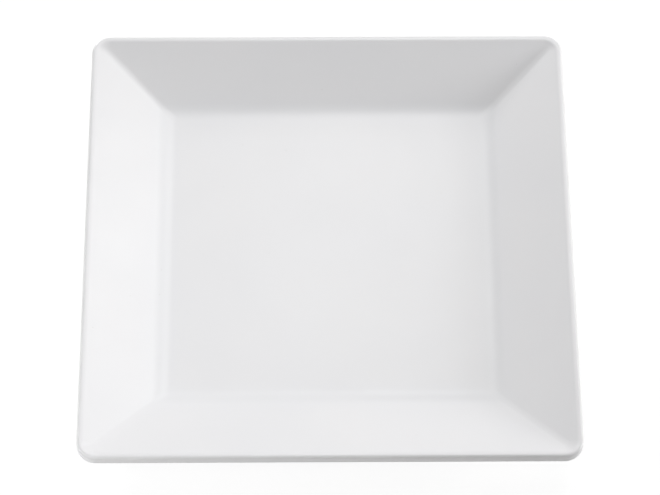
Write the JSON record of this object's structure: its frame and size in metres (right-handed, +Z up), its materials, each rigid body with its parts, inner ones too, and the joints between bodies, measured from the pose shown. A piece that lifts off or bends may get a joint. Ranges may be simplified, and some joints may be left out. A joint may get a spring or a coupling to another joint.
{
  "type": "square dinner plate",
  "caption": "Square white glazed porcelain dinner plate with a level well, flat sloping rim, rounded corners, thick edge and square foot ring.",
  "frame": {"origin": "middle of the plate on the plane that the foot ring stands on", "axes": "+Z up out of the well, +X and +Y square to two neighbouring sides; the picture looks along +Y from the -Y side and above"},
  "size_m": [0.265, 0.265, 0.0221],
  "materials": {
    "fired_porcelain": "unglazed, matt, slightly gritty, bare only on the tip of the foot ring",
    "white_glaze": "smooth satin white glaze"
  },
  "bodies": {
    "root": {"porcelain_body": "fired_porcelain", "main_glaze": "white_glaze", "base_glaze": "white_glaze"}
  },
  "joints": []
}
